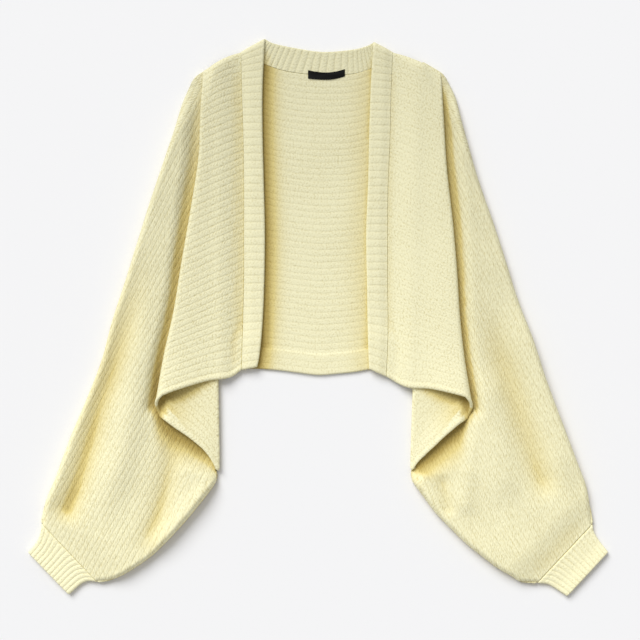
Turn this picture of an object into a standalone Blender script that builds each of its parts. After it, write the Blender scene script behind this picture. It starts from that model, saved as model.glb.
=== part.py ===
# A knitted batwing shrug, laid flat on its back with the open front upwards.
# +X is the wearer's left, +Y runs up to the neck, +Z is up from the surface it lies on.
# The origin is under the middle of the garment, on that surface.
# Every piece of cloth is a wall of knitted fabric. Tables are in millimetres.

import math

import bmesh
import bpy
from mathutils import Vector

MM = 0.001

# Thicknesses and clearances
WALL = 3.0          # chunky knit, one layer
BAND_WALL = 4.5     # front bands, a doubled rib
HEM_WALL = 5.0      # back hem, where the cloth is turned to the inside
LABEL_WALL = 0.8
SEAM = 0.3          # left between pieces that are sewn together or lie on each other
CUFF_SEAM = 0.9     # more along the slanted cuff seams, whose edges lean

# Heights of the middle of each layer, from the surface up
LAYER_STEP = 3.6
BACK_LEVEL = WALL / 2
SLEEVE_LEVEL = BACK_LEVEL + LAYER_STEP       # upper layer of the sleeves
UNDER_LEVEL = SLEEVE_LEVEL + LAYER_STEP      # front cloth that has turned back under itself
OVER_ARM_LEVEL = UNDER_LEVEL + WALL + SEAM   # front panel where it crosses the armhole line
FRONT_LEVEL = WALL + SEAM + WALL / 2         # front panel where it lies on the back
FLAT_FOLD = LAYER_STEP / 2                   # radius of a pressed fold, to the middle of the cloth
CLOTH_EDGE = WALL / 2

# The back hem
HEM_STEP = 3.0      # run over which the doubled hem thickens
HEM_TOP = -44.0     # the turned edge, on the back panel
HEM_LIFT_START = -4.0   # what lies on the back begins to rise over the hem here
HEM_LIFT_END = -32.0

# The armhole lines, from the shoulder down to the underarm
ARMHOLE = {
    "right": {"top": (-135, 327), "bottom": (-128, -197)},
    "left": {"top": (136, 334), "bottom": (120, -197)},
}
ARM_OVERLAP = 3.0       # cloth of the front that lies under its own armhole fold
BELLY_SKEW = 0.6        # below 1, the sagging edge hangs lowest nearer the hanging fold
BOW_SKEW = 1.2          # at the hem, this much more skew of the arch towards the hanging fold
RISE_END = 0.88         # the front is up over the armhole fold by this part of the way there
FOLD_END_RUN = 0.25     # part of a sleeve fold's length over which each end dies away

# Front panels: a row for each course of knitting, from the shoulder to the hem.
# seam = at the front band, fold = the hanging fold, arm_y = where it meets the armhole line,
# radius = roundness of the hanging fold, bow = how far the course arches above a straight line,
# belly = how far it hangs below one on its way back under itself
FRONT_COLUMNS = ("seam_x", "seam_y", "fold_x", "fold_y", "arm_y", "radius", "bow", "belly")
FRONT_ROWS = {
    "right": (
        (-100, 344, -151, 315, 321, 1.8, 3, 0),
        (-98, 283, -152, 259, 267, 2.0, 2, 0),
        (-97, 222, -157, 201, 202, 2.4, 0, 0),
        (-96, 159, -166, 141, 135, 2.6, 0, 0),
        (-96, 97, -176, 83, 59, 2.8, 0, 0),
        (-96, 36, -186, 19, -21, 3.0, 0, 0),
        (-97, -18, -199, -45, -107, 3.0, 3, 1),
        (-99, -69, -211, -111, -191, 3.0, 9, 5),
    ),
    "left": (
        (97, 345, 164, 311, 323, 1.8, 8, 0),
        (95, 287, 164, 259, 267, 2.0, 4, 0),
        (93, 227, 169, 201, 202, 2.4, 1, 0),
        (91, 166, 174, 141, 135, 2.6, 0, 0),
        (90, 103, 180, 83, 59, 2.8, 0, 0),
        (90, 41, 185, 19, -21, 3.0, 0, 0),
        (91, -18, 190, -45, -107, 3.0, 0, 2),
        (88, -77, 199, -110, -191, 3.0, 0, 9),
    ),
}

# Sleeves: a row for each section from the armhole to the cuff, from overarm to underarm
CATCH_UP_START = 10.0   # the upper layer is short of the armhole from this far above the underarm
SLEEVE_COLUMNS = ("over_x", "over_y", "under_x", "under_y")
SLEEVE_ROWS = {
    "right": (
        (-135, 327, -128, -205),
        (-157, 313, -133, -216),
        (-174, 285, -143, -229),
        (-198, 215, -155, -245),
        (-231, 107, -170, -263),
        (-268, -6, -191, -287),
        (-307, -120, -216, -311),
        (-341, -202, -243, -330),
        (-356, -250, -268, -341),
        (-359, -268, -287, -344),
    ),
    "left": (
        (136, 334, 120, -205),
        (170, 306, 126, -218),
        (183, 272, 134, -230),
        (198, 218, 143, -242),
        (229, 123, 163, -265),
        (268, 3, 189, -291),
        (306, -105, 216, -314),
        (337, -185, 241, -332),
        (354, -245, 265, -341),
        (357, -268, 285, -345),
    ),
}

# Soft folds that stand up along the sleeves: from the first point to the second
SLEEVE_FOLD_COLUMNS = ("from_x", "from_y", "to_x", "to_y", "width", "height")
SLEEVE_FOLDS = {
    "right": (
        (-190, 190, -285, -120, 9, 3.0),
        (-230, 40, -325, -210, 10, 2.6),
        (-245, -130, -305, -270, 13, 3.0),
        (-185, -220, -255, -300, 9, 2.2),
    ),
    "left": (
        (200, 175, 280, -90, 9, 3.0),
        (235, 60, 325, -190, 10, 2.6),
        (245, -130, 310, -265, 13, 3.0),
        (175, -225, 250, -300, 9, 2.2),
    ),
}

# Cuffs: the same columns as the sleeves, from the seam to the open end
CUFF_ROWS = {
    "right": (
        (-359, -268, -287, -344),
        (-365, -289, -304, -345),
        (-378, -305, -324, -361),
    ),
    "left": (
        (357, -268, 285, -345),
        (363, -287, 304, -350),
        (378, -305, 324, -363),
    ),
}

# Front bands: a row for each station from the shoulder to the hem
BAND_COLUMNS = ("inner_x", "inner_y")
BAND_ROWS = {
    "right": (
        (-69, 363),
        (-72, 300),
        (-72, 240),
        (-70, 177),
        (-69, 109),
        (-70, 40),
        (-71, -14),
        (-79, -64),
    ),
    "left": (
        (72, 358),
        (68, 300),
        (66, 240),
        (65, 177),
        (62, 109),
        (64, 46),
        (64, -14),
        (66, -67),
    ),
}

# Back neck: the upper edge of the neck band and the seam that joins it to the back
NECK_COLUMNS = ("top_x", "top_y", "seam_x", "seam_y")
NECK_ROWS = (
    (-69, 363, -100, 344),
    (-58, 358, -72, 331),
    (-30, 352, -42, 321),
    (6, 346, 0, 316),
    (42, 348, 42, 317),
    (62, 354, 70, 325),
    (72, 358, 97, 345),
)

# Back hem line, as x and y
HEM_ROWS = (
    (-129, -70),
    (-99, -67),
    (-75, -67),
    (-26, -72),
    (0, -75),
    (23, -73),
    (66, -68),
    (91, -68),
    (124, -70),
)

# Neck label, as corners of its two long edges
LABEL_COLUMNS = ("top_x", "top_y", "low_x", "low_y")
LABEL_ROWS = (
    (-13, 322, -13, 310),
    (11, 319, 11, 307),
    (35, 323, 35, 312),
)

# Numbers of facets
ROWS_BETWEEN = 2        # rows made from each row of a table
CATCH_UP_ROWS = 5
FOLD_FACETS = 4
FRONT_FACETS = 4        # on each side of the armhole line
UNDER_FACETS = 4
SLEEVE_FACETS_LOW = 6
SLEEVE_FACETS_TOP = 10
CUFF_FACETS = 5
BAND_FACETS = 2
NECK_FACETS = 12
SHOULDER_FACETS = 2
BACK_FACETS = 7
LABEL_FACETS = 4
SHARP_ANGLE = math.radians(40)
MERGE_DISTANCE = 1e-6

# Finishes
CREAM = (0.82, 0.79, 0.58)
BLACK = (0.012, 0.012, 0.014)
TINTS = {"panel": 1.0, "sleeve": 0.97, "rib": 1.03}
YARN_ROUGHNESS = 0.9
SATIN_ROUGHNESS = 0.45


def smooth(value):
    value = min(1.0, max(0.0, value))
    return value * value * (3 - 2 * value)


def between(start, end, part):
    return tuple(a + (b - a) * part for a, b in zip(start, end))


def curve_point(rows, place):
    # A point of the smooth curve through a table's rows; place counts rows from the first
    last = len(rows) - 1
    index = min(int(place), last - 1)
    part = place - index
    here, following = rows[index], rows[index + 1]
    before = rows[index - 1] if index else between(following, here, 2)
    after = rows[index + 2] if index + 2 <= last else between(here, following, 2)
    return tuple(
        0.5 * (2 * b + (c - a) * part + (2 * a - 5 * b + 4 * c - d) * part ** 2
               + (3 * b - a - 3 * c + d) * part ** 3)
        for a, b, c, d in zip(before, here, following, after))


def finer_rows(rows, count, columns):
    last = len(rows) - 1
    stations = [curve_point(rows, last * step / count) for step in range(count + 1)]
    return [dict(zip(columns, station)) for station in stations]


def outward(points, partners):
    # Level unit normals of a line of points, each on the side away from its partner
    normals = []
    for index, (point, partner) in enumerate(zip(points, partners)):
        ahead = points[min(index + 1, len(points) - 1)]
        behind = points[max(index - 1, 0)]
        normal = Vector((ahead.y - behind.y, behind.x - ahead.x)).normalized()
        if normal.dot(point - partner) < 0:
            normal.negate()
        normals.append(normal)
    return normals


def level(point, height):
    return Vector((point.x, point.y, height))


def fold(edge, normal, low, high, falling):
    # Half a turn of cloth whose outermost face passes through edge, between two layer levels
    radius = (high - low) / 2
    centre = edge - normal * (CLOTH_EDGE + radius)
    points = []
    for step in range(FOLD_FACETS + 1):
        angle = math.pi * (0.5 - step / FOLD_FACETS) * (1 if falling else -1)
        reach = centre + normal * radius * math.cos(angle)
        points.append(level(reach, (low + high) / 2 + radius * math.sin(angle)))
    return points


def arm_x(side, height):
    top, bottom = ARMHOLE[side]["top"], ARMHOLE[side]["bottom"]
    return top[0] + (bottom[0] - top[0]) * (top[1] - height) / (top[1] - bottom[1])


def hem_lift(height):
    # How far cloth that lies on the back rises over its doubled hem
    risen = (HEM_LIFT_START - height) / (HEM_LIFT_START - HEM_LIFT_END)
    return (HEM_WALL - WALL) * smooth(risen)


def add_material(name, color, roughness):
    material = bpy.data.materials.new(name)
    material.use_nodes = True
    shader = material.node_tree.nodes["Principled BSDF"]
    shader.inputs["Base Color"].default_value = (*color, 1)
    shader.inputs["Roughness"].default_value = roughness
    shader.inputs["Metallic"].default_value = 0
    return material


def knit(name, kind):
    tint = TINTS[kind]
    return add_material(name + "_knit", tuple(tint * part for part in CREAM), YARN_ROUGHNESS)


def cloth(name, grid, material, wall, closed=False, offset=0, weights=None):
    # A wall of cloth on a grid of points, one list of points for each row
    rows, columns = len(grid), len(grid[0])
    mesh = bpy.data.meshes.new(name)
    piece = bpy.data.objects.new(name, mesh)
    bpy.context.collection.objects.link(piece)
    bm = bmesh.new()
    bmesh.ops.create_grid(bm, x_segments=columns - 1, y_segments=rows - 1, size=1)
    bm.verts.ensure_lookup_table()
    for index, vertex in enumerate(bm.verts):
        vertex.co = grid[index // columns][index % columns] * MM
    if weights:
        group = piece.vertex_groups.new(name="wall")
        layer = bm.verts.layers.deform.verify()
        for index, vertex in enumerate(bm.verts):
            vertex[layer][group.index] = weights[index // columns]
    if closed:
        bmesh.ops.remove_doubles(bm, verts=bm.verts, dist=MERGE_DISTANCE)
    bmesh.ops.recalc_face_normals(bm, faces=bm.faces)
    # A sheet faces up; a flat tube's upper layer faces up and its lower layer down
    waist = (BACK_LEVEL + SLEEVE_LEVEL) / 2 * MM if closed else -1
    facing = sum(face.calc_area() * face.normal.z * (face.calc_center_median().z - waist)
                 for face in bm.faces)
    if facing < 0:
        bmesh.ops.reverse_faces(bm, faces=bm.faces)
    bm.to_mesh(mesh)
    bm.free()
    mesh.materials.append(material)
    mesh.shade_smooth()
    mesh.set_sharp_from_angle(angle=SHARP_ANGLE)
    solidify = piece.modifiers.new("Wall", "SOLIDIFY")
    solidify.thickness = wall * MM
    solidify.offset = offset
    if weights:
        solidify.vertex_group = "wall"
    return piece


def front_panel(side):
    rows = finer_rows(FRONT_ROWS[side], ROWS_BETWEEN * (len(FRONT_ROWS[side]) - 1), FRONT_COLUMNS)
    folds = [Vector((row["fold_x"], row["fold_y"])) for row in rows]
    arms = [Vector((arm_x(side, row["arm_y"]), row["arm_y"])) for row in rows]
    fold_normals = outward(folds, arms)
    arm_normals = outward(arms, folds)
    grid = []
    for number, row in enumerate(rows):
        down = number / (len(rows) - 1)
        seam = Vector((row["seam_x"], row["seam_y"]))
        top_level = UNDER_LEVEL + 2 * row["radius"]
        hanging = fold(folds[number], fold_normals[number], UNDER_LEVEL, top_level, True)
        turn = Vector(hanging[0][:2])
        seam += (turn - seam).normalized() * SEAM
        crossing = RISE_END * (seam.x - arm_x(side, seam.y)) / (seam.x - turn.x)
        arch = Vector((0, row["bow"]))
        points = []
        for step in range(2 * FRONT_FACETS):
            if step < FRONT_FACETS:
                part = crossing * step / FRONT_FACETS
                rise = smooth(step / FRONT_FACETS)
                height = FRONT_LEVEL + (OVER_ARM_LEVEL - FRONT_LEVEL) * rise
            else:
                beyond = (step - FRONT_FACETS) / FRONT_FACETS
                part = crossing + (1 - crossing) * beyond
                height = OVER_ARM_LEVEL + (top_level - OVER_ARM_LEVEL) * beyond
            place = seam + (turn - seam) * part
            place += arch * math.sin(math.pi * part ** (1 + BOW_SKEW * down))
            points.append(level(place, max(height, FRONT_LEVEL + hem_lift(place.y))))
        points += hanging
        armhole = fold(arms[number], arm_normals[number], SLEEVE_LEVEL, UNDER_LEVEL, True)
        run = armhole[0] - hanging[-1]
        sag = Vector((0, -row["belly"], 0))
        for step in range(1, UNDER_FACETS):
            part = step / UNDER_FACETS
            hang = sag * math.sin(math.pi * part ** BELLY_SKEW)
            points.append(hanging[-1] + run * part + hang)
        points += armhole
        points.append(armhole[-1] - level(arm_normals[number], 0) * ARM_OVERLAP)
        grid.append(points)
    return cloth("front_panel_" + side, grid, knit("front_panel_" + side, "panel"), WALL)


def sleeve_lift(side, place):
    height = 0
    for row in SLEEVE_FOLDS[side]:
        ridge = dict(zip(SLEEVE_FOLD_COLUMNS, row))
        start = Vector((ridge["from_x"], ridge["from_y"]))
        along = Vector((ridge["to_x"], ridge["to_y"])) - start
        part = (place - start).dot(along) / along.length_squared
        aside = (place - start - along * part).length / ridge["width"]
        ends = smooth(part / FOLD_END_RUN) * smooth((1 - part) / FOLD_END_RUN)
        height = max(height, ridge["height"] * ends * math.exp(-aside ** 2))
    return height


def cuff_seam_normals(side):
    # The sleeve and its cuff share these at their seam, for the overarm and the underarm
    above, seam, below = SLEEVE_ROWS[side][-2], SLEEVE_ROWS[side][-1], CUFF_ROWS[side][1]
    overs = [Vector(row[:2]) for row in (above, seam, below)]
    unders = [Vector(row[2:]) for row in (above, seam, below)]
    return outward(overs, unders)[1], outward(unders, overs)[1]


def flat_tube(side, overs, unders, facets_low, facets_top, seam_ring, lift=None, short=0):
    # Rings of a tube of cloth pressed flat. Its upper layer starts this far short, in x, of
    # the lower one, and catches up with it over the first few rings
    over_normals = outward(overs, unders)
    if short:
        over_normals[0] = (overs[0] - unders[0]).normalized()
    under_normals = outward(unders, overs)
    over_normals[seam_ring], under_normals[seam_ring] = cuff_seam_normals(side)
    grid = []
    for number, (over, under) in enumerate(zip(overs, unders)):
        at_under = fold(under, under_normals[number], BACK_LEVEL, SLEEVE_LEVEL, False)
        at_over = fold(over, over_normals[number], BACK_LEVEL, SLEEVE_LEVEL, True)
        catching_up = short * max(0, 1 - number / CATCH_UP_ROWS)
        across = at_over[0] - at_under[-1]
        parts = [step / facets_top for step in range(facets_top)]
        if short:
            parts.insert(1, min(CATCH_UP_START / across.length, parts[1] / 2))
        ring = []
        for step in range(facets_low):
            ring.append(at_over[-1].lerp(at_under[0], step / facets_low))
        ring += at_under[:-1]
        for part in parts:
            point = at_under[-1] + across * part
            if part:
                point.x += catching_up
            if lift and part and 0 < number < len(overs) - 1:
                point.z += lift(side, Vector(point[:2]))
            ring.append(point)
        for point in at_over:
            point.x += catching_up * (point.z - BACK_LEVEL) / LAYER_STEP
        ring += at_over
        grid.append(ring)
    return grid


def sleeve(side):
    table = SLEEVE_ROWS[side]
    rows = finer_rows(table, ROWS_BETWEEN * (len(table) - 1), SLEEVE_COLUMNS)
    overs = [Vector((row["over_x"], row["over_y"])) for row in rows]
    unders = [Vector((row["under_x"], row["under_y"])) for row in rows]
    away = -1 if side == "right" else 1
    overs[0].x += away * SEAM / 2
    unders[0].x += away * SEAM / 2
    short = away * (2 * CLOTH_EDGE + FLAT_FOLD + ARM_OVERLAP + 4 * SEAM)
    grid = flat_tube(side, overs, unders, SLEEVE_FACETS_LOW, SLEEVE_FACETS_TOP, -1,
                     sleeve_lift, short)
    name = "sleeve_" + side
    return cloth(name, grid, knit(name, "sleeve"), WALL, closed=True)


def cuff(side):
    rows = finer_rows(CUFF_ROWS[side], ROWS_BETWEEN * (len(CUFF_ROWS[side]) - 1), SLEEVE_COLUMNS)
    overs = [Vector((row["over_x"], row["over_y"])) for row in rows]
    unders = [Vector((row["under_x"], row["under_y"])) for row in rows]
    overs[0] += (overs[1] - overs[0]).normalized() * CUFF_SEAM
    unders[0] += (unders[1] - unders[0]).normalized() * CUFF_SEAM
    grid = flat_tube(side, overs, unders, CUFF_FACETS, CUFF_FACETS, 0)
    name = "cuff_" + side
    return cloth(name, grid, knit(name, "rib"), WALL, closed=True)


def front_band(side):
    count = ROWS_BETWEEN * (len(BAND_ROWS[side]) - 1)
    inner_rows = finer_rows(BAND_ROWS[side], count, BAND_COLUMNS)
    seam_rows = finer_rows(FRONT_ROWS[side], count, FRONT_COLUMNS)
    grid = []
    for inner_row, seam_row in zip(inner_rows, seam_rows):
        inner = Vector((inner_row["inner_x"], inner_row["inner_y"]))
        seam = Vector((seam_row["seam_x"], seam_row["seam_y"]))
        seam += (inner - seam).normalized() * SEAM / 2
        points = []
        for step in range(BAND_FACETS + 1):
            place = inner.lerp(seam, step / BAND_FACETS)
            height = WALL + SEAM + BAND_WALL / 2 + hem_lift(place.y)
            points.append(level(place, height))
        grid.append(points)
    name = "front_band_" + side
    return cloth(name, grid, knit(name, "rib"), BAND_WALL)


def neck_band():
    grid = []
    for row in finer_rows(NECK_ROWS, NECK_FACETS, NECK_COLUMNS):
        top = Vector((row["top_x"], row["top_y"]))
        seam = Vector((row["seam_x"], row["seam_y"]))
        seam += (top - seam).normalized() * SEAM
        points = []
        for step in range(BAND_FACETS + 1):
            points.append(level(top.lerp(seam, step / BAND_FACETS), BACK_LEVEL))
        grid.append(points)
    return cloth("neck_band", grid, knit("neck_band", "rib"), WALL)


def hem_y(x):
    # The hem line's height at x
    rows = HEM_ROWS
    for index in range(len(rows) - 1):
        if x <= rows[index + 1][0]:
            part = (x - rows[index][0]) / (rows[index + 1][0] - rows[index][0])
            return curve_point(rows, index + part)[1]
    return rows[-1][1]


def back_panel():
    neck = [Vector((row["seam_x"], row["seam_y"]))
            for row in finer_rows(NECK_ROWS, NECK_FACETS, NECK_COLUMNS)]
    tops = []
    for side, end in (("right", neck[0]), ("left", neck[-1])):
        corner = Vector(ARMHOLE[side]["top"])
        run = [corner.lerp(end, step / SHOULDER_FACETS) for step in range(SHOULDER_FACETS)]
        tops.append(run)
    top_line = tops[0] + neck + tops[1][::-1]
    inner = SEAM
    first, last = top_line[0].x + inner, top_line[-1].x - inner
    low_first, low_last = arm_x("right", HEM_TOP) + inner, arm_x("left", HEM_TOP) - inner
    drops = [step / BACK_FACETS for step in range(BACK_FACETS)]
    grid = []
    weights = [WALL / HEM_WALL] * (BACK_FACETS + 1) + [1.0, 1.0]
    for drop in drops + [1.0]:
        points = []
        for top in top_line:
            part = (top.x - top_line[0].x) / (top_line[-1].x - top_line[0].x)
            low = Vector((low_first + (low_last - low_first) * part, HEM_TOP + HEM_STEP))
            start = Vector((first + (last - first) * part, top.y - SEAM / 2))
            points.append(level(start.lerp(low, drop), 0))
        grid.append(points)
    for turned_edge in (True, False):
        points = []
        for top in grid[BACK_FACETS]:
            height = HEM_TOP if turned_edge else hem_y(top.x)
            points.append(Vector((top.x, height, 0)))
        grid.append(points)
    material = knit("back_panel", "panel")
    return cloth("back_panel", grid, material, HEM_WALL, offset=1, weights=weights)


def neck_label():
    height = WALL + SEAM
    grid = []
    for row in finer_rows(LABEL_ROWS, LABEL_FACETS, LABEL_COLUMNS):
        top = Vector((row["top_x"], row["top_y"]))
        low = Vector((row["low_x"], row["low_y"]))
        grid.append([level(top, height), level(low, height)])
    satin = add_material("woven_satin", BLACK, SATIN_ROUGHNESS)
    return cloth("neck_label", grid, satin, LABEL_WALL, offset=1)


def build():
    for existing in list(bpy.data.objects):
        bpy.data.objects.remove(existing, do_unlink=True)
    back_panel()
    neck_band()
    neck_label()
    for side in ("right", "left"):
        front_panel(side)
        front_band(side)
        sleeve(side)
        cuff(side)


build()
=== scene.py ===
import functools
import math

import bmesh
import bpy
import numpy as np
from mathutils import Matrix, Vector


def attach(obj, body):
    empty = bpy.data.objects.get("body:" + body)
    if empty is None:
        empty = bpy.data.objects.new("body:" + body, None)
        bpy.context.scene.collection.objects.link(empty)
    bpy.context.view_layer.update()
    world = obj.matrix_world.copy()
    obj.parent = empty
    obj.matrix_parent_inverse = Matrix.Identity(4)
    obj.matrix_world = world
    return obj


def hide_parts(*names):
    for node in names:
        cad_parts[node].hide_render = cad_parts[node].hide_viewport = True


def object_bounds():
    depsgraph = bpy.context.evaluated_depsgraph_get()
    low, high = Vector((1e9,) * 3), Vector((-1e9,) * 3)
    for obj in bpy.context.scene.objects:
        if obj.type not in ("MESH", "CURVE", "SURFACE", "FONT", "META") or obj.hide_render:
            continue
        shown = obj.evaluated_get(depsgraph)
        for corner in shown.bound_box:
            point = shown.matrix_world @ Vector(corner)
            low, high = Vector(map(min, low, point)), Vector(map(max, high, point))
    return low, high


# A knitted batwing shrug, laid flat with its open front upwards.
# Sizes are in millimetres. +X is the wearer's left, +Y runs up to the neck.

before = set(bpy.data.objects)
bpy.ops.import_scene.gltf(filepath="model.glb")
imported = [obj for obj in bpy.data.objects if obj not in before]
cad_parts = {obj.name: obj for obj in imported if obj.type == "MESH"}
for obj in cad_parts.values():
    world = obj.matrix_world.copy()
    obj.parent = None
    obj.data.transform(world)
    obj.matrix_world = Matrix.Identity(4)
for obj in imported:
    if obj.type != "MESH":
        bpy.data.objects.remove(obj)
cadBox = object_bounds()
mm = 0.001

layers = {
    "half": 1.4,            # half the thickness of one layer of knit, at the top of a rib
    "lower": 1.45,          # heights of the middle of each layer
    "upper": 5.0,
    "under": 8.6,           # front cloth that has turned back under itself
    "front": 4.7,           # front cloth that lies on the back
    "overArm": 12.0,        # front cloth where it crosses the armhole
    "hemRise": 2.0,         # what lies on the doubled back hem is this much higher
    "hemRiseFrom": -4.0,
    "hemRiseTo": -34.0,
}


def eased(value):
    value = np.clip(value, 0, 1)
    return value * value * (3 - 2 * value)


def rounded(distance, radius):
    # A quarter circle: 0 at an edge, 1 at this radius from it and beyond
    part = np.clip(distance / radius, 0, 1)
    return np.sqrt(np.maximum(1 - (1 - part) ** 2, 0))


def unit(vectors):
    return vectors / np.maximum(np.linalg.norm(vectors, axis=-1, keepdims=True), 1e-9)


def curveThrough(rows, places):
    # The smooth curve through a table's rows; places count rows from the first
    rows = np.array(rows, float)
    padded = np.vstack([2 * rows[0] - rows[1], rows, 2 * rows[-1] - rows[-2]])
    index = np.clip(places.astype(int), 0, len(rows) - 2)
    part = (places - index)[:, None]
    a, b, c, d = (padded[index + step] for step in range(4))
    bend = (2 * a - 5 * b + 4 * c - d) * part ** 2 + (3 * b - a - 3 * c + d) * part ** 3
    return 0.5 * (2 * b + (c - a) * part + bend)


def smoothly(part, table):
    # A smooth curve through a table of places and values, read at these places
    curve = curveThrough(table, np.linspace(0, len(table) - 1, 20 * len(table)))
    return np.interp(part, curve[:, 0], curve[:, 1])


def lengthAlong(points):
    # How far along its line each point is; the lines of a grid are its rows
    steps = np.linalg.norm(np.diff(points, axis=-2), axis=-1)
    return np.insert(np.cumsum(steps, axis=-1), 0, 0, axis=-1)


def pointsAt(wanted, run, points):
    # The line's points at the wanted places, where run says how far along it each of them is
    return np.stack([np.interp(wanted, run, column) for column in points.T], axis=1)


def evenly(points, count):
    # A smooth line through the points, as this many points at equal steps
    fine = curveThrough(points, np.linspace(0, len(points) - 1, 30 * len(points)))
    run = lengthAlong(fine)
    return pointsAt(np.linspace(0, run[-1], count), run, fine)


def between(firsts, lasts, part):
    # Points on the straight lines from each first point to its last one
    return firsts[:, None] + (lasts - firsts)[:, None] * part[..., None]


def sideways(path):
    # Level unit normals to the left of a path
    ahead = unit(np.gradient(path, axis=0))
    return np.stack([-ahead[:, 1], ahead[:, 0]], axis=1)


def nearPath(places, path):
    # How far each place is from a path, how far along it (0 to 1), and on its left (+1) or right
    start, step = path[:-1], np.diff(path, axis=0)
    run = np.maximum(np.linalg.norm(step, axis=1), 1e-6)
    before = np.cumsum(run) - run
    gap = places[..., None, :] - start
    part = np.clip((gap * step).sum(-1) / run ** 2, 0, 1)
    off = np.linalg.norm(gap - part[..., None] * step, axis=-1)
    side = np.sign(step[:, 0] * gap[..., 1] - step[:, 1] * gap[..., 0])
    best = off.argmin(-1)[..., None]
    found = [off, (before + part * run) / run.sum(), side]
    return [np.take_along_axis(values, best, -1)[..., 0] for values in found]


def softFold(places, fold):
    # Height of one soft fold: from, to and any points between, as wide and high as it says
    path = evenly(fold["path"], 24)
    off, along, side = nearPath(places, path)
    ends = eased(along / fold.get("fadeIn", 0.25)) * eased((1 - along) / fold.get("fadeOut", 0.25))
    width = np.where(side > 0, fold.get("leftWidth", fold["width"]), fold["width"])
    return fold["height"] * ends * np.exp(-(off / width) ** 2)


def gentleWaves(places, size, seed):
    # Slow, shallow unevenness of hand-laid cloth, from -1 to 1
    random = np.random.default_rng(seed)
    total = np.zeros(places.shape[:-1])
    for turn in range(5):
        angle, phase = random.uniform(0, math.pi), random.uniform(0, 2 * math.pi)
        span = size * random.uniform(0.7, 1.5)
        across = places[..., 0] * math.cos(angle) + places[..., 1] * math.sin(angle)
        total += np.sin(2 * math.pi * across / span + phase)
    return total / 5


def ribGroove(number, flatness):
    # 0 on the top of a rib, 1 in the groove between two; a low flatness makes narrow grooves
    return 1 - np.abs(np.sin(np.pi * number)) ** flatness


def meshLines(ribs, perRib, rim):
    # Where the mesh has lines, counted in ribs, with closer ones along both rims. For a direction
    # that has no ribs, it is counted as one
    lines = np.linspace(0, ribs, ribs * perRib + 1)
    return np.unique(np.concatenate([lines, rim, ribs - np.array(rim)]))


def gridNormals(points, wraps=False):
    if wraps:
        padded = np.concatenate([points[:, -2:-1], points, points[:, 1:2]], axis=1)
        along = np.gradient(padded, axis=1)[:, 1:-1]
    else:
        along = np.gradient(points, axis=1)
    return unit(np.cross(np.gradient(points, axis=0), along))


def upwardNormals(points):
    normals = gridNormals(points)
    return normals * np.sign(normals[..., 2:])


def sheet(points, places):
    # One grid of mesh faces with the knit's own coordinates, in metres, as its UV map
    rows, columns = points.shape[:2]
    bm = bmesh.new()
    bmesh.ops.create_grid(bm, x_segments=columns - 1, y_segments=rows - 1, size=1)
    mesh = bpy.data.meshes.new("sheet")
    bm.to_mesh(mesh)
    bm.free()
    mesh.vertices.foreach_set("co", (points * mm).astype(np.float32).ravel())
    corners = np.zeros(len(mesh.loops), np.int32)
    mesh.loops.foreach_get("vertex_index", corners)
    knitMap = mesh.uv_layers.new(name="knit")
    flat = places.reshape(-1, 2)[corners] * mm
    knitMap.data.foreach_set("uv", flat.astype(np.float32).ravel())
    return mesh


def clothPiece(name, sheets, material):
    # The sheets of one piece, closed along the edges that they share
    bm = bmesh.new()
    for part in sheets:
        bm.from_mesh(part)
        bpy.data.meshes.remove(part)
    bmesh.ops.remove_doubles(bm, verts=bm.verts, dist=0.001 * mm)
    bmesh.ops.dissolve_degenerate(bm, dist=0.0005 * mm, edges=bm.edges)
    # a corner point of both sheets would leave two faces back to back
    bmesh.ops.dissolve_verts(bm, verts=[vert for vert in bm.verts if len(vert.link_edges) == 2])
    bmesh.ops.holes_fill(bm, edges=[edge for edge in bm.edges if edge.is_boundary], sides=0)
    bmesh.ops.recalc_face_normals(bm, faces=bm.faces)
    if bm.calc_volume(signed=True) < 0:
        bmesh.ops.reverse_faces(bm, faces=bm.faces)
    mesh = bpy.data.meshes.new(name)
    bm.to_mesh(mesh)
    bm.free()
    mesh.shade_smooth()
    mesh.materials.append(material)
    piece = bpy.data.objects.new(name, mesh)
    bpy.context.scene.collection.objects.link(piece)
    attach(piece, "root")
    print(name, len(mesh.polygons), "faces")
    return piece


def clothShell(mid, normals, thick, relief, along, across):
    # The two faces of a layer of knit round its middle; they meet where it has no thickness.
    # Its own coordinates run along the ribs and across them
    offset = normals * np.broadcast_to(thick * (1 - relief), mid.shape[:2])[..., None]
    places = np.stack(np.broadcast_arrays(along, across), axis=-1)
    return [sheet(mid + offset, places), sheet(mid - offset, places)]


def linear(code):
    # An sRGB hex colour as linear light
    parts = [int(code[place:place + 2], 16) / 255 for place in (1, 3, 5)]
    return [part / 12.92 if part <= 0.04045 else ((part + 0.055) / 1.055) ** 2.4
            for part in parts] + [1]


def newMaterial(name, roughness, specular):
    material = bpy.data.materials.new(name)
    material.use_nodes = True
    shader = material.node_tree.nodes["Principled BSDF"]
    shader.inputs["Roughness"].default_value = roughness
    shader.inputs["Specular IOR Level"].default_value = specular
    return material, shader


def addNode(tree, kind, inputs, output=0, **settings):
    # One node with its settings. Its inputs are other nodes' outputs or plain values, listed in
    # the node's order, or by name or number
    node = tree.nodes.new("ShaderNode" + kind)
    for setting, value in settings.items():
        setattr(node, setting, value)
    for place, value in inputs.items() if isinstance(inputs, dict) else enumerate(inputs):
        if isinstance(value, bpy.types.NodeSocket):
            tree.links.new(value, node.inputs[place])
        else:
            node.inputs[place].default_value = value
    return node.outputs[output]


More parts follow.
